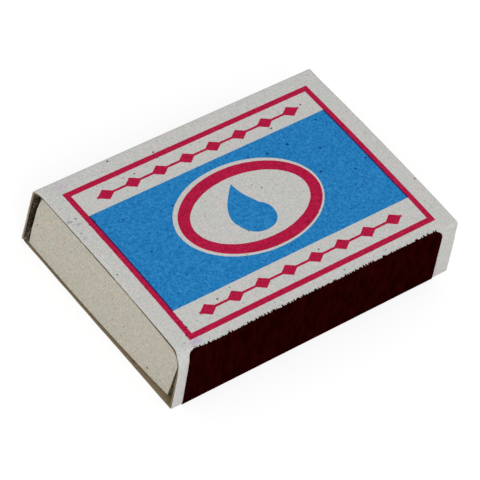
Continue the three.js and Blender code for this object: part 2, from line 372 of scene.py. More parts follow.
def ink_material(name, base, thin, dark, fleck):
    """Matt offset ink on rough board: uneven cover, paper pinholes and dark flecks."""
    s = Shader(name, 0.8, 0.08)
    cover = s.span(s.noise(2.6, 2.0, 0.8), 0.34, 0.66)
    cloud = s.span(s.noise(0.5, 3.0, 0.6), 0.3, 0.7)
    tone = s.mix(cover, thin, dark)
    tone = s.mix(s.math("MULTIPLY", cloud, 0.5), tone, base)
    pinholes = s.specks(2.6, 0.22, 0.12)
    tone = s.mix(s.math("MULTIPLY", pinholes, 0.3), tone, srgb(150, 178, 200))
    tone = s.mix(s.math("MULTIPLY", s.specks(2.0, 0.28, 0.3), 0.55), tone, fleck)
    tone = s.mix(s.specks(1.0, 0.27, 0.2), tone, fleck)
    s.colour(tone)
    s.bump(cover, 0.012)
    return s.material


def striker_material():
    s = Shader("striker_coat", 1.0, 0.0)
    grain = s.noise(7.0, 4.0, 0.8)
    cloud = s.noise(1.0, 3.0, 0.6, s.stretched(0.9, 0.9, 0.3))
    tone = s.mix(s.span(cloud, 0.4, 0.7), srgb(25, 1, 1), srgb(40, 3, 3))
    tone = s.mix(s.span(grain, 0.62, 0.8), tone, srgb(50, 12, 10))
    tone = s.mix(s.math("MULTIPLY", s.specks(1.3, 0.14, 0.07), 0.7), tone, srgb(104, 84, 80))
    s.colour(tone)
    s.bump(grain, 0.05)
    return s.material


def wood_material():
    s = Shader("match_stick_wood", 0.8, 0.2)
    grain = s.noise(1.0, 5.0, 0.65, s.stretched(0.18, 3.4, 3.4))
    fine = s.noise(1.0, 2.0, 0.5, s.stretched(0.8, 14.0, 14.0))
    tone = s.mix(s.span(grain, 0.3, 0.7), srgb(226, 200, 156), srgb(203, 168, 118))
    tone = s.mix(s.math("MULTIPLY", s.span(fine, 0.5, 0.72), 0.45), tone, srgb(168, 128, 82))
    s.colour(tone)
    s.bump(s.math("ADD", grain, fine), 0.05)
    return s.material


def head_material():
    s = Shader("match_head_compound", 0.85, 0.25)
    grain = s.noise(6.0, 4.0, 0.7)
    tone = s.mix(s.span(grain, 0.35, 0.7), srgb(96, 26, 20), srgb(62, 15, 13))
    tone = s.mix(s.math("MULTIPLY", s.specks(5.0, 0.3, 0.12), 0.5), tone, srgb(150, 96, 80))
    s.colour(tone)
    s.bump(grain, 0.08)
    return s.material


# Marks on the board: place and size in millimetres, strength, colour

def top_mark(from_mouth, from_front, length, height, strength, colour):
    x = from_mouth - LENGTH / MM / 2
    y = from_front - WIDTH / MM / 2
    return (x, y, HEIGHT / MM, length, height, strength, colour)


MARKS = (
    top_mark(4.2, 1.6, 1.3, 0.8, 0.7, srgb(176, 158, 192)),
    top_mark(4.0, 35.5, 1.7, 0.9, 0.6, srgb(186, 170, 188)),
    top_mark(1.4, 29.0, 0.6, 0.35, 0.7, srgb(134, 130, 142)),
    top_mark(2.4, 28.0, 0.9, 0.3, 0.6, srgb(140, 134, 148)),
    top_mark(1.6, 25.3, 0.4, 0.35, 0.6, srgb(134, 132, 144)),
)

FLECK = srgb(70, 68, 66)
PAPER = board_material("sleeve_paper", srgb(208, 207, 203), srgb(176, 176, 173),
                       srgb(206, 194, 195), srgb(188, 198, 190), FLECK, MARKS)

# Painted shade inside the far wall at both ends, where the gap beside the tray lies in shadow: dark brown
# at the end, near black deeper in
GAP_SHADE_MARKS = tuple(
    (end * (LENGTH / MM / 2 - depth), WIDTH / MM / 2, 5.5, reach, 1.2, 0.95, colour)
    for end in (-1, 1)
    for depth, reach, colour in ((0, 2.6, srgb(46, 32, 18)), (2.4, 2.4, srgb(14, 9, 5)))
)

# At the mouth: a paler cut edge on the far wall, and painted shade on the lap's cut edge at its foot, deep
# in the far gap
FAR_EDGE = ((-LENGTH / MM / 2, WIDTH / MM / 2 + 0.55, 4.5), (3, 0.9, 9), 0.7, srgb(200, 188, 170))
LAP_FOOT_SHADE = ((-LENGTH / MM / 2 + 0.5, WIDTH / MM / 2 - 0.5, 1.6), (1.6, 0.8, 2.2), 0.9, srgb(52, 40, 26))

# The inside board carries the painted shade of the far gap
INSIDE = board_material("sleeve_inside", srgb(140, 124, 98), srgb(112, 98, 74),
                        srgb(140, 118, 90), srgb(122, 116, 92), srgb(50, 42, 32), GAP_SHADE_MARKS, 9)
# The cut edges carry the painted shade at the lap's foot
EDGE = edge_material("sleeve_cut_edge", srgb(160, 146, 120), srgb(104, 88, 62), [FAR_EDGE, LAP_FOOT_SHADE])
CARD = board_material("tray_card", srgb(206, 202, 189), srgb(164, 159, 144),
                      srgb(202, 186, 172), srgb(180, 186, 170), srgb(76, 68, 56))
CARD_EDGE = edge_material("tray_cut_edge", srgb(140, 128, 102), srgb(96, 82, 58))
CRIMSON = ink_material("crimson_ink", srgb(170, 12, 58), srgb(190, 30, 74),
                       srgb(148, 4, 44), srgb(96, 8, 40))
BLUE = ink_material("blue_ink", srgb(22, 119, 180), srgb(52, 140, 198),
                    srgb(2, 96, 162), srgb(8, 40, 84))
OVERLAP = ink_material("overprint_ink", srgb(52, 20, 76), srgb(70, 28, 92),
                       srgb(34, 14, 54), srgb(20, 10, 36))
STRIKER = striker_material()
WOOD = wood_material()
HEAD = head_material()


# Sleeve

def near_fold(x):
    """Outer radius of the near top crease: soft at the mouth, crisp beyond."""
    away = (x - SLEEVE_LOW.x) / SOFT_REACH
    return FOLD + (SOFT_FOLD - FOLD) * math.exp(-away * away)


def crown(y):
    across = 2 * y / WIDTH
    return CROWN * max(0.0, 1 - across * across)


def top_height(x, y):
    """Outer surface of the top panel and of its near crease."""
    radius = near_fold(x)
    inward = (y + WIDTH / 2) - radius
    from_wall = 1 - abs(2 * y / WIDTH)
    level = HEIGHT + crown(y) + PANEL_WAVE * wave(x / WAVE_LENGTH, y / WAVE_LENGTH, 0, 1) * from_wall
    if inward < 0:
        level -= radius - math.sqrt(max(radius * radius - inward * inward, 0.0))
    return level


def splay(y, z):
    """Shift in Y of a point of the sleeve: none at the top, most at the floor, linear across it."""
    t = (y + WIDTH / 2) / WIDTH
    return (t * FAR_SPLAY - (1 - t) * NEAR_SPLAY) * (1 - min(z / HEIGHT, 1.0))


def sleeve_path(x):
    """Outer face of the folded strip at one station, from the lap's top round to the seam."""
    half = WIDTH / 2
    lap_y = half - BOARD - LAP_AIR
    lap_top = HEIGHT - BOARD - LAP_TOP_GAP
    soft = near_fold(x)
    path = [(lap_y, lap_top)]
    path += straight((lap_y, lap_top), (lap_y, FOLD), LAP_ROWS - 1)
    path += arc(lap_y - FOLD, FOLD, FOLD, 0, -90, 6)
    path += straight((lap_y - FOLD, 0), (-half + FOLD, 0), 34)
    path += arc(-half + FOLD, FOLD, FOLD, 270, 180, 6)
    path += straight((-half, FOLD), (-half, HEIGHT - soft), 12)
    for y, z in arc(-half + soft, HEIGHT - soft, soft, 180, 90, 14):
        path.append((y, top_height(x, y) if z > HEIGHT - soft * 0.5 else z))
    top_start = -half + soft
    top_end = half - FOLD
    for y, z in straight((top_start, HEIGHT), (top_end, HEIGHT), 44):
        path.append((y, top_height(x, y)))
    for y, z in arc(half - FOLD, HEIGHT - FOLD, FOLD, 90, 0, 6):
        path.append((y, z + crown(y)))
    path += straight((half, HEIGHT - FOLD), (half, SEAM_LIFT), 10)
    path.append((half, SEAM_LIFT))
    return path


def lap_inset(index):
    """The lap's ends are cut back at a slant; index counts down the lap."""
    if index > LAP_ROWS:
        return 0.0
    return LAP_CUT * (1 - 0.4 * index / LAP_ROWS) * smooth_step((LAP_ROWS - index) / 3)


def sleeve_stations():
    near = [0, 0.03 * MM, 0.08 * MM, 0.15 * MM, 0.22 * MM, PAPER_TURN]
    first = near + even(PAPER_TURN, 6 * MM, 0.4 * MM)[1:]
    middle = even(6 * MM, LENGTH - 1 * MM, 1.0 * MM)[1:]
    last = even(LENGTH - 1 * MM, LENGTH - PAPER_TURN, 0.35 * MM)[1:]
    edge = [LENGTH - d for d in reversed(near[:-1])]
    return [SLEEVE_LOW.x + d for d in first + middle + last + edge]


def paper_turn(y, z):
    """How far the outer paper is drawn over the cut edge: well over on the top and the near side."""
    from_far = smooth_step((WIDTH / 2 - y) / TURN_REACH)
    from_floor = smooth_step((z - TURN_START) / TURN_REACH)
    return PLAIN_TURN + (PAPER_TURN - PLAIN_TURN) * from_far * from_floor


def mouth_set_back(y, z):
    """How far the cut edge at the mouth lies inside the sleeve's end plane."""
    near = 0.5 - y / WIDTH
    wall = NEAR_SET_BACK * near + WALL_SET_BACK * min(max(z / HEIGHT, 0.0), 1.0)
    across, down = NEAR_BEND if y < 0 else FAR_BEND
    over = smooth_step((WIDTH / 2 - abs(y)) / across)
    on_top = smooth_step((z - HEIGHT + down) / down)
    return wall + (TOP_SET_BACK - wall) * over * on_top


def build_sleeve():
    outer, inner = [], []
    stations = sleeve_stations()
    for x in stations:
        plain = sleeve_path(x)
        fade = 1 - smooth_step((x - stations[0]) / SET_BACK_REACH)
        path, sides, places = [], [], []
        for j, (y, z) in enumerate(plain):
            place = x + mouth_set_back(y, z) * fade
            moved = sleeve_path(place) if fade else plain
            path.append(moved[j])
            sides.append(normals_of(moved[max(j - 1, 0):j + 2])[min(j, 1)])
            places.append(place)
        to_end = min(x - stations[0], stations[-1] - x)
        frayed = max(0.0, 1 - to_end / FRAY_REACH) ** 2
        outer_row, inner_row = [], []
        for j, ((y, z), (ny, nz), place) in enumerate(zip(path, sides, places)):
            share = 1 - 2 * lap_inset(j) / LENGTH
            px = place * share
            wander = wave(y / WANDER_LENGTH, z / WANDER_LENGTH, math.copysign(5, x), 2)
            px -= math.copysign(1, x) * EDGE_WANDER * frayed * wander
            turn = paper_turn(y, z)
            rest = max(0.0, turn - to_end)
            sunk = turn - math.sqrt(turn * turn - rest * rest)
            lean = splay(y, z)
            outer_row.append((px, y + lean - ny * sunk, z - nz * sunk))
            inner_row.append((px, y + lean - ny * BOARD, z - nz * BOARD))
        outer.append(outer_row)
        inner.append(inner_row)
    sheet = Form()
    sheet.add(outer, inner)
    sleeve = sheet.piece("sleeve_card", [PAPER, INSIDE, EDGE])
    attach(sleeve, "sleeve_body")
    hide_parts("sleeve")


# Printed label: flat outlines, triangulated, draped over the crowned top

RAGGED = 0.03 * MM
RAGGED_FINE = 0.35 * MM
RAGGED_COARSE = 1.3 * MM
INK_ROOT = 0.02 * MM           # how far a print reaches down into the paper
DRAPE_ACROSS = 1.2 * MM
DRAPE_ALONG = 2.0 * MM
OUTLINE_STEP = 0.3 * MM


def dense(points):
    """A closed outline with points added along its straight stretches."""
    result = []
    for a, b in zip(points, points[1:] + points[:1]):
        count = max(1, round(math.dist(a, b) / OUTLINE_STEP))
        for i in range(count):
            result.append((a[0] + (b[0] - a[0]) * i / count, a[1] + (b[1] - a[1]) * i / count))
    return result


def ragged(points, seed):
    """Ink creeps unevenly along its edge."""
    result = []
    for x, y in points:
        fine = (x / RAGGED_FINE, y / RAGGED_FINE)
        coarse = (x / RAGGED_COARSE, y / RAGGED_COARSE)
        dx = wave(*fine, 0, seed) + 0.5 * wave(*coarse, 5, seed)
        dy = wave(*fine, 9, seed) + 0.5 * wave(*coarse, 15, seed)
        result.append((x + RAGGED * dx, y + RAGGED * dy))
    return result


def box_outline(x0, x1, y0, y1):
    return dense([(x0, y0), (x1, y0), (x1, y1), (x0, y1)])


def oval_outline(centre, length, height, steps=120):
    return [
        (centre.x + length / 2 * math.cos(2 * math.pi * i / steps),
         centre.y + height / 2 * math.sin(2 * math.pi * i / steps))
        for i in range(steps)
    ]


def bezier(a, b, c, d, steps=14):
    points = []
    for i in range(steps):
        t = i / steps
        u = 1 - t
        weights = (u * u * u, 3 * u * u * t, 3 * u * t * t, t * t * t)
        points.append(tuple(sum(w * p[k] for w, p in zip(weights, (a, b, c, d))) for k in (0, 1)))
    return points


def print_field(name, rings, material, node, seed, lift=INK):
    """One printed shape. rings holds its outlines, holes after the first; node is the CAD node or None."""
    rings = [ragged(ring, seed) for ring in rings]
    flat_points = [p for ring in rings for p in ring]
    triangles = tessellate_polygon([[Vector((x, y, 0)) for x, y in ring] for ring in rings])
    shape = bmesh.new()
    corners = [shape.verts.new((x, y, 0)) for x, y in flat_points]
    for triangle in triangles:
        try:
            shape.faces.new([corners[i] for i in triangle])
        except ValueError:
            continue
    xs = [p[0] for p in flat_points]
    ys = [p[1] for p in flat_points]
    cuts = [(Vector((0, y, 0)), Vector((0, 1, 0))) for y in even(min(ys), max(ys), DRAPE_ACROSS)[1:-1]]
    cuts += [(Vector((x, 0, 0)), Vector((1, 0, 0))) for x in even(min(xs), max(xs), DRAPE_ALONG)[1:-1]]
    for point, normal in cuts:
        geometry = shape.verts[:] + shape.edges[:] + shape.faces[:]
        bmesh.ops.bisect_plane(shape, geom=geometry, dist=1e-9, plane_co=point, plane_no=normal)
    for face in shape.faces:
        face.normal_update()
        if face.normal.z < 0:
            face.normal_flip()
    lower = bmesh.ops.extrude_face_region(shape, geom=shape.faces[:])
    lifted = {v for v in lower["geom"] if isinstance(v, bmesh.types.BMVert)}
    for v in shape.verts:
        above = lift if v in lifted else -INK_ROOT
        v.co.z = top_height(v.co.x, v.co.y) + above
    bmesh.ops.recalc_face_normals(shape, faces=shape.faces[:])
    mesh = bpy.data.meshes.new(name)
    shape.to_mesh(mesh)
    shape.free()
    mesh.materials.append(material)
    mesh.shade_smooth()
    mesh.set_sharp_from_angle(angle=math.radians(SMOOTH_ANGLE))
    piece = bpy.data.objects.new(name, mesh)
    bpy.context.scene.collection.objects.link(piece)
    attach(piece, "sleeve_body")
    if node:
        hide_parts(node)


FRAME_LINE = FIELD_LOW.x - FRAME_LOW.x
RING_LINE = 1.9 * MM
HALO = 0.55 * MM
OVERPRINT = 0.24 * MM
SLIP = Vector((-0.11, 0.09, 0)) * MM    # the blue plate sits off register
CHAIN_LINE = 0.4 * MM
LOZENGE_LENGTH = 3.2 * MM
LOZENGE_PITCH = 5 * MM
FLAME_HALF_WIDTH = 3.4 * MM
FLAME_LEAN = 0.544 * MM


def chain_outline(node):
    """A row of lozenges on a thin line, inside the box of its CAD node."""
    low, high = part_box(node)
    middle = (low.y + high.y) / 2
    tall = (high.y - low.y) / 2
    thin = CHAIN_LINE / 2
    run = LOZENGE_LENGTH / 2
    reach = run * (1 - thin / tall)
    count = round((high.x - low.x - LOZENGE_LENGTH) / LOZENGE_PITCH) + 1
    above = []
    for i in range(count):
        x = low.x + run + i * LOZENGE_PITCH
        above += [(x - reach, thin), (x, tall), (x + reach, thin)]
    left = [(low.x, -thin), (low.x, thin)]
    right = [(high.x, thin), (high.x, -thin)]
    below = [(x, -y) for x, y in reversed(above)]
    return dense([(x, y + middle) for x, y in left + above + right + below])


def flame_outline():
    centre = (FLAME_LOW + FLAME_HIGH) / 2
    tall = FLAME_HIGH.y - FLAME_LOW.y
    half = FLAME_HALF_WIDTH
    foot, tip = -tall / 2, tall / 2
    lean = FLAME_LEAN
    points = bezier((0, foot), (half, foot), (half * 1.25, foot + tall * 0.36), (half * 0.62, 0))
    points += bezier((half * 0.62, 0), (half * 0.3, tall * 0.22), (lean, tall * 0.3), (lean, tip))
    hip = (-half, foot + tall * 0.25)
    points += bezier((lean, tip), (-half * 0.5, tall * 0.3), (-half * 1.4, 0), hip)
    points += bezier(hip, (-half * 0.85, foot + tall * 0.06), (-half * 0.4, foot), (0, foot))
    return [(x + SLIP.x, y + centre.y + SLIP.y) for x, y in points]


def build_label():
    inner = (FIELD_LOW.x, FIELD_HIGH.x, FRAME_LOW.y + FRAME_LINE, FRAME_HIGH.y - FRAME_LINE)
    outside = box_outline(FRAME_LOW.x, FRAME_HIGH.x, FRAME_LOW.y, FRAME_HIGH.y)
    frame_line = [outside, box_outline(*inner)]
    print_field("label_frame_print", frame_line, CRIMSON, "label_frame", 3)
    centre = (RING_LOW + RING_HIGH) / 2
    length = RING_HIGH.x - RING_LOW.x
    height = RING_HIGH.y - RING_LOW.y
    field = box_outline(FIELD_LOW.x, FIELD_HIGH.x, FIELD_LOW.y, FIELD_HIGH.y)
    hole = oval_outline(centre + SLIP * 1.6, length + 2 * HALO, height + 2 * HALO)
    print_field("label_field_print", [field, hole], BLUE, "label_field", 4)
    within = oval_outline(centre, length - 2 * RING_LINE, height - 2 * RING_LINE)
    ring = [oval_outline(centre, length, height), within]
    print_field("label_ring_print", ring, CRIMSON, "label_medallion_ring", 5)
    print_field("label_flame_print", [flame_outline()], BLUE, "label_flame", 6)
    for side, seed in (("front", 7), ("back", 8)):
        node = "label_chain_" + side
        print_field(node + "_print", [chain_outline(node)], CRIMSON, node, seed)
    for side, x0 in (("left", FIELD_LOW.x - OVERPRINT * 0.5), ("right", FIELD_HIGH.x - OVERPRINT * 0.4)):
        strip = box_outline(x0, x0 + OVERPRINT, FIELD_LOW.y, FIELD_HIGH.y)
        print_field("label_overprint_" + side, [strip], OVERLAP, None, 9, INK * 1.6)


# Strikers

def surface_point(x, s, side, lift):
    """Point on a long side's outer face: s is the way up from the foot crease's start, in metres."""
    half = WIDTH / 2
    soft = near_fold(x) if side < 0 else FOLD
    quarter = math.pi / 2
    low_arc = FOLD * quarter
    face = HEIGHT - soft - FOLD
    high_arc = soft * quarter
    if s < low_arc:
        angle = s / FOLD
        y = -half + FOLD - (FOLD + lift) * math.sin(angle)
        z = FOLD - (FOLD + lift) * math.cos(angle)
    elif s < low_arc + face:
        y = -half - lift
        z = FOLD + s - low_arc
    elif s < low_arc + face + high_arc:
        angle = (s - low_arc - face) / soft
        y = -half + soft - soft * math.cos(angle)
        z = HEIGHT - soft + soft * math.sin(angle)
        if side < 0 and angle > math.pi / 6:
            z = top_height(x, y)
        y -= lift * math.cos(angle)
        z += lift * math.sin(angle)
    else:
        y = -half + soft + (s - low_arc - face - high_arc)
        z = top_height(x, y) + lift
    y *= -side
    return (x, y + splay(y, z), z)


STRIKER_CORNER = 1.9 * MM
STRIKER_SHIFT = 0.35 * MM      # the strip starts a little further from the mouth
STRIKER_STEP = 0.075 * MM
STRIKER_FOOT = 0.24 * MM       # its lower edge, measured round the foot crease
FRONT_TOP = 0.08 * MM          # its upper edge, short of the near top crease's end
BACK_TOP = 0.5 * MM            # and short of the far crease's start
STRIKER_ROWS = (5, 8, 14)      # in the foot crease, on the face and in the top crease
COAT_ROOT = 0.02 * MM          # how far the coat reaches down into the paper
THIN_EDGE = 0.35               # share of the coat's thickness left at its edges
BRISTLE_PITCH = (0.2, 0.62)    # the three ranges are in millimetres
BRISTLE_HEIGHT = (0.04, 0.44)
BRISTLE_WIDTH = (0.09, 0.2)
BRISTLE_CLEAR = 0.6            # share of a corner left without spikes


def bristles(low, high, rng):
    """Places, heights and half widths, in metres, of the coat's spikes along its upper edge."""
    spikes = []
    x = low
    while x < high:
        spikes.append((x, rng.uniform(*BRISTLE_HEIGHT) * MM, rng.uniform(*BRISTLE_WIDTH) * MM))
        x += rng.uniform(*BRISTLE_PITCH) * MM
    return spikes


def spike_height(x, spikes):
    return max([h * (1 - abs(x - at) / w) for at, h, w in spikes if abs(x - at) < w], default=0.0)


def striker_levels(x, side, seed, spikes, end_distance):
    """Heights of the coat's rows at one station, from its lower to its upper edge."""
    soft = near_fold(x) if side < 0 else FOLD
    foot = FOLD * math.pi / 2
    crease = foot + (HEIGHT - soft - FOLD) + soft * math.pi / 2
    high = crease - FRONT_TOP if side < 0 else crease - soft * math.pi / 2 - BACK_TOP
    high += 0.05 * MM * wave(x / (3 * MM), 2, 0, seed) + spike_height(x, spikes)
    if end_distance < STRIKER_CORNER:
        high -= corner_drop(STRIKER_CORNER, end_distance)
    low = STRIKER_FOOT + 0.03 * MM * wave(x / (0.4 * MM), 3, 0, seed)
    bend = min(crease - soft * math.pi / 2, high - 0.3 * MM)
    levels = []
    for start, end, steps in zip((low, foot, bend), (foot, bend, high), STRIKER_ROWS):
        levels += [start + (end - start) * j / steps for j in range(steps)]
    return levels + [high]


def build_striker(node, side, seed):
    """A rough coat with a bristly upper edge: up to the crease in front, below it at the back."""
    rng = random.Random(seed)
    columns = even(STRIKER_LOW.x + STRIKER_SHIFT, STRIKER_HIGH.x, STRIKER_STEP)
    clear = STRIKER_CORNER * BRISTLE_CLEAR
    spikes = bristles(columns[0] + clear, columns[-1] - clear, rng)
    outer, inner = [], []
    for x in columns:
        end_distance = min(x - columns[0], columns[-1] - x)
        ending = smooth_step(1 - end_distance / (1.2 * MM))
        levels = striker_levels(x, side, seed, spikes, end_distance)
        last = len(levels) - 1
        outer_row, inner_row = [], []
        for j, s in enumerate(levels):
            sideways = 0.04 * MM * wave(s / (0.5 * MM), x / (4 * MM), 0, seed) * ending
            thin = THIN_EDGE + (1 - THIN_EDGE) * smooth_step(min(j, last - j) / 1.5)
            outer_row.append(surface_point(x + sideways, s, side, STRIKER_COAT * thin))
            inner_row.append(surface_point(x + sideways, s, side, -COAT_ROOT))
        outer.append(outer_row)
        inner.append(inner_row)
    sheet = Form()
    sheet.add(outer, inner)
    sheet.slots = [0] * len(sheet.slots)
    coat = sheet.piece(node + "_coat", [STRIKER], flip=side < 0)
    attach(coat, "sleeve_body")
    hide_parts(node)


# Tray

TRAY_MIDDLE = (TRAY_LOW.y + TRAY_HIGH.y) / 2
TRAY_HALF = (TRAY_HIGH.y - TRAY_LOW.y) / 2
TRAY_TALL = TRAY_HIGH.z - TRAY_LOW.z
FLAP_TOP_AIR = 0.17 * MM
FLAP_RECESS = 0.25             # of the plain flap; in millimetres, like all down to SPREAD_TOP
FLAP_TILT = 0.15               # its near side stands deeper at the foot
FLAP_BELLY = 0.12              # its upper edge bulges outwards
MOUTH_FOOT = 0.02              # the mouth's flap: recess of its foot at the far side
MOUTH_TILT = 0.12
MOUTH_PUSH = 0.8               # its near foot has been pushed in
MOUTH_HEAD = 0.97              # it leans in to the top's edge
MOUTH_HEAD_NEAR = 0.25         # and a little less at the near corner
FAR_GAP = 1.19                 # from the sleeve's side to the flap's far edge
FAR_FLARE = 0.2                # which draws back a little at its foot
FLARE_TOP = 3.5
FAR_CURVE = 0.6                # and more near the top
CURVE_START = 6.6
CURVE_REACH = 3.3
NEAR_GAP = 0.22                # from the sleeve's board to its near edge
MOUTH_SPREAD = 1.0             # which draws back towards the foot
PLAIN_SPREAD = 0.35
SPREAD_TOP = 8.0
FLAP_CORNER = 2.1 * MM         # the flap's near top corner, under the soft crease
PLAIN_CORNER = 1.6 * MM
CORNER_DEEP = 1.0 * MM         # at the mouth the near wall turns in a little earlier
CORNER_REACH = 1.5 * MM
SHIFT_START = 7 * MM           # the trough is drawn in over its last stretch
SHIFT_REACH = 6 * MM


def flap_recess(end, y, z):
    """How far the flap's outer face lies inside the sleeve's end."""
    t = min(max((TRAY_MIDDLE + TRAY_HALF - y) / (2 * TRAY_HALF), 0.0), 1.0)
    rise = min(max(z / TRAY_TALL, 0.0), 1.0)
    if end > 0:
        foot = FLAP_RECESS + FLAP_TILT * t
        head = FLAP_RECESS - FLAP_BELLY * math.sin(math.pi * t)
    else:
        foot = MOUTH_FOOT + MOUTH_TILT * t + MOUTH_PUSH * t ** 3
        head = MOUTH_HEAD - MOUTH_HEAD_NEAR * t ** 8
    return (foot * (1 - rise) + head * rise) * MM


def flap_side(end, side, z):
    """Place in Y of the flap's cut side at one height."""
    high = z / MM
    if side > 0:
        foot_flare = FAR_FLARE * max(0.0, 1 - high / FLARE_TOP) ** 2
        head_curve = FAR_CURVE * max(0.0, (high - CURVE_START) / CURVE_REACH) ** 2
        inset = FAR_GAP + foot_flare + head_curve
    else:
        spread = MOUTH_SPREAD if end < 0 else PLAIN_SPREAD
        inset = BOARD / MM + NEAR_GAP + spread * max(0.0, 1 - high / SPREAD_TOP)
    return side * (WIDTH / 2 - inset * MM)


def trough_shift(x, y, z):
    """The trough's mouth end follows the pushed-in flap."""
    near = smooth_step((-x - LENGTH / 2 + SHIFT_START) / SHIFT_REACH)
    corner = smooth_step((TRAY_MIDDLE - TRAY_HALF + CORNER_REACH - y) / MM)
    return near * (flap_recess(-1, y, z) - FLAP_RECESS * MM + CORNER_DEEP * corner)


def trough_path():
    half = TRAY_HALF
    path = [(-half, TRAY_TALL)]
    path += straight((-half, TRAY_TALL), (-half, TRAY_FOLD), 8)
    path += arc(-half + TRAY_FOLD, TRAY_FOLD, TRAY_FOLD, 180, 270, 6)
    path += straight((-half + TRAY_FOLD, 0), (half - TRAY_FOLD, 0), 24)
    path += arc(half - TRAY_FOLD, TRAY_FOLD, TRAY_FOLD, 270, 360, 6)
    path += straight((half, TRAY_FOLD), (half, TRAY_TALL), 8)
    path.append((half, TRAY_TALL))
    return path


def add_trough(sheet):
    path = trough_path()
    sides = normals_of(path)
    end = TRAY_HIGH.x - TRAY_FOLD
    outer, inner = [], []
    for x in even(-end, end, 1.5 * MM):
        outer_row, inner_row = [], []
        for (y, z), (ny, nz) in zip(path, sides):
            lean = 0.06 * MM * wave(x / (12 * MM), y / (30 * MM), 0, 11) * z / TRAY_TALL
            place = x + trough_shift(x, TRAY_MIDDLE + y, z)
            across = TRAY_MIDDLE + y + lean
            up = TRAY_LOW.z + z
            outer_row.append((place, across, up))
            inner_row.append((place, across + ny * TRAY_BOARD, up + nz * TRAY_BOARD))
        outer.append(outer_row)
        inner.append(inner_row)
    sheet.add(inner, outer)


def flap_top(end, share):
    """Height of the flap's upper edge above its foot; share runs from near, 0, to far, 1."""
    low = flap_side(end, -1, TRAY_TALL)
    high = flap_side(end, 1, TRAY_TALL)
    y = low + (high - low) * share
    under_top = HEIGHT - BOARD - FLAP_TOP_AIR + crown(y)
    reach = y - low
    radius = FLAP_CORNER if end < 0 else PLAIN_CORNER
    if reach < radius:
        under_top -= corner_drop(radius, reach)
    return under_top - TRAY_LOW.z


def add_flap(sheet, end):
    """An end flap and the fold at its foot; end is -1 or 1."""
    outer, inner = [], []
    columns = 60
    steps = 20
    for i in range(columns + 1):
        share = smooth_step(i / columns) * 0.5 + i / columns * 0.5
        tall = flap_top(end, share)
        low, high = flap_side(end, -1, 0), flap_side(end, 1, 0)
        foot = LENGTH / 2 - TRAY_FOLD - flap_recess(end, low + (high - low) * share, 0)
        path = [(foot - 0.8 * MM, 0), (foot - 0.4 * MM, 0)]
        path += arc(foot, TRAY_FOLD, TRAY_FOLD, -90, 0, 5)
        for k in range(1, steps + 1):
            z = TRAY_FOLD + (tall - TRAY_FOLD) * k / steps
            low, high = flap_side(end, -1, z), flap_side(end, 1, z)
            y = low + (high - low) * share
            face = LENGTH / 2 - flap_recess(end, y, z)
            path.append((face + 0.03 * MM * wave(y / (5 * MM), z / (4 * MM), end * 3, 15), z))
        sides = normals_of(path)
        outer_row, inner_row = [], []
        for (x, z), (nx, nz) in zip(path, sides):
            low, high = flap_side(end, -1, max(z, 0)), flap_side(end, 1, max(z, 0))
            y = low + (high - low) * share
            outer_row.append((end * x, y, TRAY_LOW.z + z))
            inner_row.append((end * (x + nx * TRAY_BOARD), y, TRAY_LOW.z + z + nz * TRAY_BOARD))
        outer.append(outer_row)
        inner.append(inner_row)
    if end > 0:
        sheet.add(inner, outer)
    else:
        sheet.add(outer, inner)


def add_tab(sheet, end, side):
    """A long wall's end, folded in behind the flap."""
    wall = TRAY_HALF
    inset = TRAY_HIGH.x - TRAY_BOARD - 0.03 * MM
    path = [(inset - TRAY_FOLD - 0.3 * MM, wall)]
    path += arc(inset - TRAY_FOLD, wall - TRAY_FOLD, TRAY_FOLD, 90, 0, 5)
    path += straight((inset, wall - TRAY_FOLD), (inset, wall - TAB_LENGTH), 6)
    path.append((inset, wall - TAB_LENGTH))
    sides = normals_of(path)
    outer, inner = [], []
    last = len(path) - 1
    for j, ((x, y), (nx, ny)) in enumerate(zip(path, sides)):
        slant = TAB_SLANT * max(0, j - 6) / (last - 6)
        low = TRAY_FOLD + TAB_FOOT_AIR + slant
        high = TRAY_TALL - TAB_HEAD_AIR - slant * 2
        outer_row, inner_row = [], []
        for k in range(5):
            z = TRAY_LOW.z + low + (high - low) * k / 4
            pulled = x - flap_recess(end, TRAY_MIDDLE + side * y, z - TRAY_LOW.z) + FLAP_RECESS * MM
            if end < 0 and side < 0:
                pulled -= CORNER_DEEP
            outer_row.append((end * pulled, TRAY_MIDDLE + side * y, z))
            inside = y - ny * TRAY_BOARD
            inner_row.append((end * (pulled - nx * TRAY_BOARD), TRAY_MIDDLE + side * inside, z))
        outer.append(outer_row)
        inner.append(inner_row)
    if end * side > 0:
        sheet.add(outer, inner)
    else:
        sheet.add(inner, outer)


def build_tray():
    sheet = Form()
    add_trough(sheet)
    for end in (-1, 1):
        add_flap(sheet, end)
        for side in (-1, 1):
            add_tab(sheet, end, side)
    tray = sheet.piece("tray_card", [CARD, CARD, CARD_EDGE])
    face_outwards(tray)
    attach(tray, "tray_body")
    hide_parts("tray")


# Matches

STICK = 2.0 * MM
HEAD_LENGTH = 3.6 * MM
HEAD_ROUND = 18
HEAD_RINGS = 14
HEAD_BLUNT = 0.42              # share of the head that its round tip takes
HEAD_NECK = 0.2                # how much it narrows towards the stick
HEAD_END = 0.74                # radius of its last ring, as a share of the widest
HEAD_LUMPS = 0.07
HEAD_SHRINK = 0.05             # makes up for most of the lumps' height
HEAD_SLUMP = 0.12              # the dip ends unevenly along the stick
STICK_IN_HEAD = 0.45
BEVEL = 0.08 * MM

# Signs of the stick's corners in Y and Z, and which way each bevel draws them in
STICK_RING = ((-1, -1, 1, 0), (-1, -1, 0, 1), (-1, 1, 0, -1), (-1, 1, 1, 0),
              (1, 1, -1, 0), (1, 1, 0, -1), (1, -1, 0, 1), (1, -1, -1, 0))


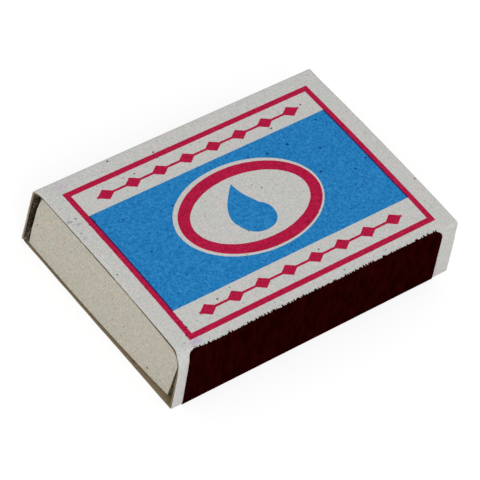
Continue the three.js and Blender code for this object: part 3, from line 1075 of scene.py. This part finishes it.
def head_radius(t, widest):
    """Radius of the dipped head at share t of its length, tip at 0."""
    if t >= 1:
        return widest * HEAD_END
    blunt = math.sqrt(max(0.0, 1 - (1 - min(t / HEAD_BLUNT, 1)) ** 2))
    narrow = smooth_step((t - HEAD_BLUNT) / (1 - HEAD_BLUNT))
    return widest * blunt * (1 - HEAD_NECK * narrow)


def add_stick(body, low, high, number, rng):
    """A square bevelled stick, a little bowed and rough."""
    middle = (low + high) / 2
    half = STICK / 2 * rng.uniform(0.95, 1.0)
    flat = STICK / 2 * rng.uniform(0.9, 1.0)
    bow = rng.uniform(-0.03, 0.03) * MM
    stations = even(low.x + HEAD_LENGTH * STICK_IN_HEAD, high.x, 3 * MM)
    for x in stations:
        t = (x - low.x) / (high.x - low.x)
        sag = bow * math.sin(math.pi * t)
        rough = 0.02 * MM * wave(x / (4 * MM), number, 0, 12)
        for sy, sz, by, bz in STICK_RING:
            y = sy * flat + by * BEVEL + rough * sz
            z = sz * half + bz * BEVEL + rough * sy
            body.vertices.append((x, middle.y + y + sag, middle.z + z))
    count = len(STICK_RING)
    for i in range(len(stations) - 1):
        for j in range(count):
            a = i * count + j
            b = i * count + (j + 1) % count
            body.face((a, b, b + count, a + count), 0)
    body.face(tuple(range(count)), 0)
    last = (len(stations) - 1) * count
    body.face(tuple(reversed(range(last, last + count))), 0)


def add_head(body, low, high, number):
    """A lumpy dipped head round the stick's end."""
    middle = (low + high) / 2
    widest = (high.z - low.z) / 2
    base = len(body.vertices)
    body.vertices.append((low.x, middle.y, middle.z))
    for i in range(1, HEAD_RINGS + 1):
        t = i / HEAD_RINGS
        radius = head_radius(t, widest)
        for j in range(HEAD_ROUND):
            angle = 2 * math.pi * j / HEAD_ROUND
            cosine, sine = math.cos(angle), math.sin(angle)
            bumps = wave(2.2 * cosine, 2.2 * sine, t * 3 + number * 1.7, 13)
            lump = 1 + HEAD_LUMPS * bumps - HEAD_SHRINK
            y = radius * lump * cosine
            z = radius * lump * sine
            slump = HEAD_SLUMP * HEAD_LENGTH * wave(cosine, sine, number, 14) * t * t
            body.vertices.append((low.x + t * HEAD_LENGTH + slump, middle.y + y, middle.z + z))
    for j in range(HEAD_ROUND):
        following = (j + 1) % HEAD_ROUND
        body.face((base, base + 1 + following, base + 1 + j), 1)
        for i in range(HEAD_RINGS - 1):
            a = base + 1 + i * HEAD_ROUND
            body.face((a + j, a + following, a + HEAD_ROUND + following, a + HEAD_ROUND + j), 1)
    rim = base + 1 + (HEAD_RINGS - 1) * HEAD_ROUND
    body.face(tuple(rim + j for j in range(HEAD_ROUND)), 1)


def build_match(number, rng):
    node = f"match_{number:02d}"
    low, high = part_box(node)
    body = Form()
    add_stick(body, low, high, number, rng)
    add_head(body, low, high, number)
    piece = body.piece(node + "_wood", [WOOD, HEAD])
    face_outwards(piece)
    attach(piece, "tray_body")
    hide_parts(node)


# Studio

WORLD_LIGHT = 0.82
LAMP_WATTS = 3.1
LAMP_SIZE = 0.6
LAMP_PLACE = (-0.44, -0.64, 0.5)
FLOOR_HALF = 2                 # metres, like the two above
FLOOR_DROP = 0.02 * MM         # clear of the sleeve's underside
FLOOR_SHARE = 0.28             # how much of the floor's look comes from the light on it
FLOOR_SEEN = 1.04              # and its brightness in all, a little over white
FLOOR_BOUNCE = 0.8             # its paleness for the light that it throws back


def seen_directly(tree):
    """1 for camera, glossy and transmission rays, 0 for the rays that light the object."""
    path = tree.nodes.new("ShaderNodeLightPath")
    value = path.outputs["Is Camera Ray"]
    for other in ("Is Glossy Ray", "Is Transmission Ray"):
        most = tree.nodes.new("ShaderNodeMath")
        most.operation = "MAXIMUM"
        tree.links.new(value, most.inputs[0])
        tree.links.new(path.outputs[other], most.inputs[1])
        value = most.outputs[0]
    return value


def between(tree, factor, low, high):
    node = tree.nodes.new("ShaderNodeMapRange")
    tree.links.new(factor, node.inputs["Value"])
    node.inputs["To Min"].default_value = low
    node.inputs["To Max"].default_value = high
    return node.outputs["Result"]


def build_stage():
    """A floor that looks white from above, keeps a faint shadow and lights the object as a pale table."""
    corners = ((-1, -1), (1, -1), (1, 1), (-1, 1))
    vertices = [(FLOOR_HALF * x, FLOOR_HALF * y, -FLOOR_DROP) for x, y in corners]
    floor = new_object("floor", vertices, [(0, 1, 2, 3)], [])
    material = bpy.data.materials.new("floor_white")
    material.use_nodes = True
    tree = material.node_tree
    bsdf = tree.nodes["Principled BSDF"]
    bsdf.inputs["Roughness"].default_value = 1.0
    bsdf.inputs["Specular IOR Level"].default_value = 0.0
    bsdf.inputs["Emission Color"].default_value = (1, 1, 1, 1)
    seen = seen_directly(tree)
    glow = FLOOR_SEEN - FLOOR_SHARE
    tree.links.new(between(tree, seen, FLOOR_BOUNCE, FLOOR_SHARE), bsdf.inputs["Base Color"])
    tree.links.new(between(tree, seen, 0.0, glow), bsdf.inputs["Emission Strength"])
    side = tree.nodes.new("ShaderNodeNewGeometry")
    clear = tree.nodes.new("ShaderNodeBsdfTransparent")
    one_sided = tree.nodes.new("ShaderNodeMixShader")
    tree.links.new(side.outputs["Backfacing"], one_sided.inputs[0])
    tree.links.new(bsdf.outputs[0], one_sided.inputs[1])
    tree.links.new(clear.outputs[0], one_sided.inputs[2])
    tree.links.new(one_sided.outputs[0], tree.nodes["Material Output"].inputs["Surface"])
    floor.data.materials.append(material)


def build_light():
    world = bpy.data.worlds.new("studio")
    bpy.context.scene.world = world
    world.use_nodes = True
    tree = world.node_tree
    background = tree.nodes["Background"]
    background.inputs["Color"].default_value = (1, 1, 1, 1)
    tree.links.new(between(tree, seen_directly(tree), WORLD_LIGHT, 1.0), background.inputs["Strength"])
    lamp_data = bpy.data.lights.new("soft_key", "AREA")
    lamp_data.shape = "SQUARE"
    lamp_data.size = LAMP_SIZE
    lamp_data.energy = LAMP_WATTS
    lamp = bpy.data.objects.new("soft_key", lamp_data)
    lamp.location = LAMP_PLACE
    lamp.rotation_euler = (-lamp.location).to_track_quat("-Z", "Y").to_euler()
    bpy.context.scene.collection.objects.link(lamp)


def build_camera():
    azimuth = math.radians(CAMERA_AZIMUTH)
    elevation = math.radians(CAMERA_ELEVATION)
    away = Vector((
        math.sin(azimuth) * math.cos(elevation),
        -math.cos(azimuth) * math.cos(elevation),
        math.sin(elevation),
    ))
    data = bpy.data.cameras.new("photo_view")
    data.sensor_width = SENSOR_MM
    data.lens = FOCAL_PIXELS * SENSOR_MM / PICTURE_PIXELS
    data.clip_start = 0.01
    data.clip_end = 20
    camera = bpy.data.objects.new("photo_view", data)
    camera.location = CAMERA_AIM + away * CAMERA_DISTANCE
    turn = (-away).to_track_quat("-Z", "Y").to_matrix().to_4x4()
    turn = turn @ Matrix.Rotation(math.radians(CAMERA_ROLL), 4, "Z")
    camera.rotation_euler = turn.to_euler()
    bpy.context.scene.collection.objects.link(camera)
    bpy.context.scene.camera = camera


build_camera()
build_stage()
build_light()
build_sleeve()
build_label()
build_striker("striker_front", -1, 21)
build_striker("striker_back", 1, 22)
build_tray()
generator = random.Random(5)
for match_number in range(1, 41):
    build_match(match_number, generator)

bpy.context.scene.view_settings.view_transform = "Standard"
